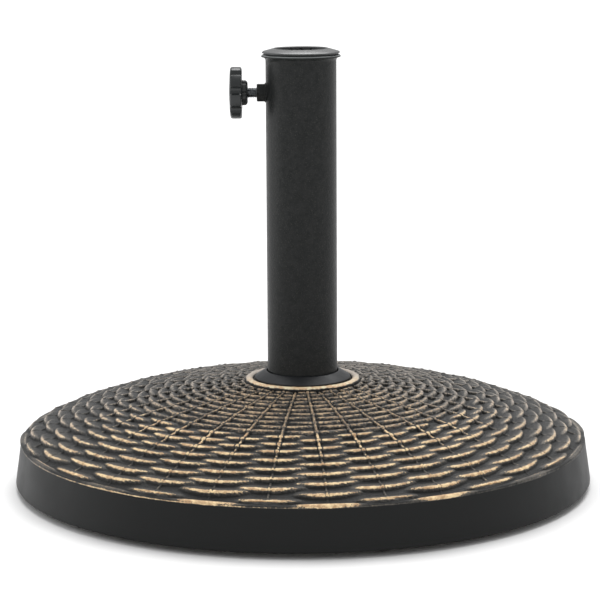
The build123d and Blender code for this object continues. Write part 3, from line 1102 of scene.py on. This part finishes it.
def pole_cup():
    outline = rounded(
        [
            (0.05, 58.0),
            (17.0, 58.0),
            (17.0, 44.0),
            (25.4, 44.0),
            (25.4, 100.0),
            (21.5, 100.0),
            (20.0, 98.5),
            (20.0, 61.0),
            (0.05, 61.0),
        ],
        0.4,
    )
    cup = lathe("pole_cup_moulded", outline)
    add_piece(cup, "base", "cup_plastic", MATERIALS["cup"], "pole_cup")


# ---- Clamp screw --------------------------------------------------------------------------

LOBES = 8
FIRST_GROOVE = 9.5
GROOVE_RADIUS = 3.3
GROOVE_DEPTH = 2.5
KNOB_BACK = -45.4
LOBE_START = 12.5
LOBE_COLUMNS = 32
HUB_RADIUS = 9.6
HUB_RIBS = 6
RIB_DEPTH = 1.6
RIB_SHARE = 2.4


def soft_min(a, b, width):
    """The smaller of two values, blended where they are within width."""
    share = np.clip(0.5 + 0.5 * (b - a) / width, 0, 1)
    return b + (a - b) * share - width * share * (1 - share)


def knob_rim(angle):
    """Radius of the knob's rim at each angle from straight towards the camera, turning upwards."""
    centre = KNOB_RADIUS - GROOVE_DEPTH + GROOVE_RADIUS
    pitch = TURN / LOBES
    off = np.mod(angle - math.radians(FIRST_GROOVE) + pitch / 2, pitch) - pitch / 2
    reach = np.clip(GROOVE_RADIUS**2 - (centre * np.sin(off)) ** 2, 0, None)
    groove = centre * np.cos(off) - np.sqrt(reach)
    groove = np.where(reach > 0, groove, KNOB_RADIUS + 3)
    return soft_min(np.full_like(angle, KNOB_RADIUS), groove, 0.9)


def knob_body():
    """Star knob: crowned face, rounded lobes and a ribbed hub."""
    columns = LOBES * LOBE_COLUMNS
    angles = np.arange(columns) / columns * TURN
    face = KNOB_FACE
    outline = [
        (HUB_RADIUS * 0.42, HUB_FACE),
        (HUB_RADIUS * 0.42, face + 6),
        (CAP_RADIUS, CAP_BACK + 0.1),
        (CAP_RADIUS, face + 0.55),
        (CAP_RADIUS + 0.35, face + 0.16),
        (CAP_RADIUS + 2.5, face + 0.2),
        (14.5, face + 0.38),
        (17.2, face + 0.62),
        (18.6, face + 0.85),
        (19.3, face + 1.2),
        (19.7, face + 1.75),
        (KNOB_RADIUS, face + 2.6),
        (KNOB_RADIUS, KNOB_BACK - 1.6),
        (19.65, KNOB_BACK - 0.8),
        (19.1, KNOB_BACK - 0.25),
        (18.2, KNOB_BACK),
        (12.0, KNOB_BACK),
        (HUB_RADIUS + 0.6, KNOB_BACK),
        (HUB_RADIUS, KNOB_BACK + 0.6),
        (HUB_RADIUS, HUB_FACE - 1.8),
        (HUB_RADIUS - 0.5, HUB_FACE - 0.9),
        (HUB_RADIUS - 1.8, HUB_FACE - 0.1),
        (HUB_RADIUS - 3.0, HUB_FACE),
    ]
    outline = np.array(outline)
    radius, angle = np.meshgrid(outline[:, 0], angles, indexing="ij")
    along = np.repeat(outline[:, 1:2], columns, axis=1)
    rim = knob_rim(angle) - KNOB_RADIUS
    share = np.clip((radius - LOBE_START) / (KNOB_RADIUS - LOBE_START), 0, 1)
    radius = radius + rim * share**1.5
    on_hub = (along > KNOB_BACK + 0.3) & (radius > HUB_RADIUS * 0.55)
    rib = 0.5 + 0.5 * np.cos(HUB_RIBS * (angle + math.pi / 2))
    between = 1 - np.clip(rib * RIB_SHARE, 0, 1)
    radius = np.where(on_hub, radius - RIB_DEPTH * between, radius)
    points = around("X", along, radius, angle).reshape(-1, 3)
    faces = grid_faces(len(outline), columns, closed=True)
    knob = mesh_object("knob_body_moulded", points, faces, crease=40)
    add_piece(knob, "knob", "knob_plastic", MATERIALS["knob"], "knob_body")


def knob_cap():
    outline = [
        (0.02, CAP_BACK),
        (CAP_RADIUS - 0.05, CAP_BACK),
        (CAP_RADIUS - 0.05, CAP_FACE + 0.6),
        (CAP_RADIUS - 0.4, CAP_FACE + 0.28),
        (CAP_RADIUS - 1.4, CAP_FACE + 0.12),
        (CAP_RADIUS / 2, CAP_FACE + 0.03),
        (0.02, CAP_FACE),
    ]
    cap = lathe("knob_cap_moulded", outline, segments=96, axis="X")
    add_piece(cap, "knob", "knob_plastic", MATERIALS["knob"], "knob_cap")


def clamp_screw():
    neck = SCREW_HEAD_OUT + SCREW_HEAD
    head = hexagon_prism("screw_head", SCREW_FLATS, SCREW_HEAD_OUT, neck, 0.6, "X")
    shank = thread(
        "screw_shank", SCREW_RADIUS, SCREW_THREAD, neck, SCREW_TIP, "X", bore=SPIGOT_BORE
    )
    screw = joined("clamp_screw_threaded", [head, shank])
    add_piece(screw, "knob", "black_steel", MATERIALS["black_steel"], "clamp_screw")


def clamp_pad():
    tip = SCREW_TIP
    outline = [
        (0.02, tip - 4),
        (1.1, tip - 4),
        (1.2, tip - 3.8),
        (1.2, tip + 0.05),
        (2.8, tip + 0.05),
        (3.0, tip + 0.3),
        (3.0, tip + 1.6),
        (2.6, tip + 1.98),
        (1.6, tip + 2.05),
        (0.02, tip + 2.05),
    ]
    pad = lathe("clamp_pad_moulded", outline, segments=48, axis="X")
    add_piece(pad, "pad", "pad_nylon", MATERIALS["pad"], "clamp_pad")


def cad_finishes():
    """Materials of the CAD nodes that stay as they are."""
    kept = {
        "ballast_core": "cement",
        "tube_socket": "socket",
        "anchor_washer": "zinc",
        "lock_washer": "zinc",
        "tube_foot_plate": "coat",
        "tube_foot_nut": "coat",
    }
    for name, finish in kept.items():
        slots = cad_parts[name].data.materials
        for i in range(len(slots)):
            slots[i] = MATERIALS[finish]


# ---- Studio -------------------------------------------------------------------------------

CAMERA_DISTANCE = 1785.3
CAMERA_HEIGHT = 461.05
CAMERA_PITCH = 10.227
CAMERA_ROLL = 0.312
CAMERA_LENS = 139.70
CAMERA_ASIDE = -1.70
FLOOR_REACH = 12.0
SKY_STRENGTH = 0.62
OVERHEAD_POWER = 2.6
OVERHEAD_SPREAD = 50
OVERHEAD_TURN = (-26, 5)
LEFT_BOX = {"width": 0.6, "height": 1.2, "power": 5}


def studio_camera():
    data = bpy.data.cameras.new("camera")
    data.lens = CAMERA_LENS
    data.sensor_width = 36
    data.clip_end = 50
    camera = bpy.data.objects.new("camera", data)
    camera.location = (
        CAMERA_ASIDE * MM,
        -CAMERA_DISTANCE * MM,
        (CAMERA_HEIGHT + SHELL_BOTTOM) * MM,
    )
    aim = Matrix.Rotation(math.radians(90 - CAMERA_PITCH), 3, "X")
    roll = Matrix.Rotation(math.radians(-CAMERA_ROLL), 3, "Z")
    camera.rotation_euler = (aim @ roll).to_euler()
    bpy.context.scene.collection.objects.link(camera)
    bpy.context.scene.camera = camera


def studio_floor():
    size = FLOOR_REACH
    mesh = bpy.data.meshes.new("floor")
    corners = [(-size, -size, 0), (size, -size, 0), (size, size, 0), (-size, size, 0)]
    mesh.from_pydata(corners, [], [(0, 1, 2, 3)])
    floor = bpy.data.objects.new("floor", mesh)
    bpy.context.scene.collection.objects.link(floor)
    paper = Finish("floor_paper")
    shade = paper.mix(paper.noise(400, detail=2), (0.90, 0.90, 0.90, 1), (0.93, 0.93, 0.93, 1))
    mesh.materials.append(paper.shade(Base_Color=shade, Roughness=0.9, Specular_IOR_Level=0.0))


def soft_box(name, place_at, target, width, height, power):
    data = bpy.data.lights.new(name, "AREA")
    data.shape = "RECTANGLE"
    data.size = width
    data.size_y = height
    data.energy = power
    light = bpy.data.objects.new(name, data)
    light.location = place_at
    light.rotation_euler = (Vector(target) - Vector(place_at)).to_track_quat("-Z", "Y").to_euler()
    bpy.context.scene.collection.objects.link(light)


def studio_light():
    world = bpy.data.worlds.new("studio")
    world.use_nodes = True
    background = world.node_tree.nodes["Background"]
    background.inputs["Color"].default_value = (1.0, 1.0, 1.0, 1)
    background.inputs["Strength"].default_value = SKY_STRENGTH
    bpy.context.scene.world = world
    overhead = bpy.data.lights.new("overhead", "SUN")
    overhead.energy = OVERHEAD_POWER
    overhead.angle = math.radians(OVERHEAD_SPREAD)
    lamp = bpy.data.objects.new("overhead", overhead)
    lamp.rotation_euler = (*(math.radians(turn) for turn in OVERHEAD_TURN), 0)
    bpy.context.scene.collection.objects.link(lamp)
    soft_box("left_box", (-1.7, 0.1, 0.5), (0, 0, 0.2), **LEFT_BOX)
    bpy.context.scene.view_settings.view_transform = "Standard"


woven_top()
shell_skirt()
bead_ring()
anchor_bolt()
rubber_feet()
pole_tube()
clamp_nut()
base_collar()
pole_reducer()
pole_cup()
knob_body()
knob_cap()
clamp_screw()
clamp_pad()
cad_finishes()
studio_camera()
studio_floor()
studio_light()
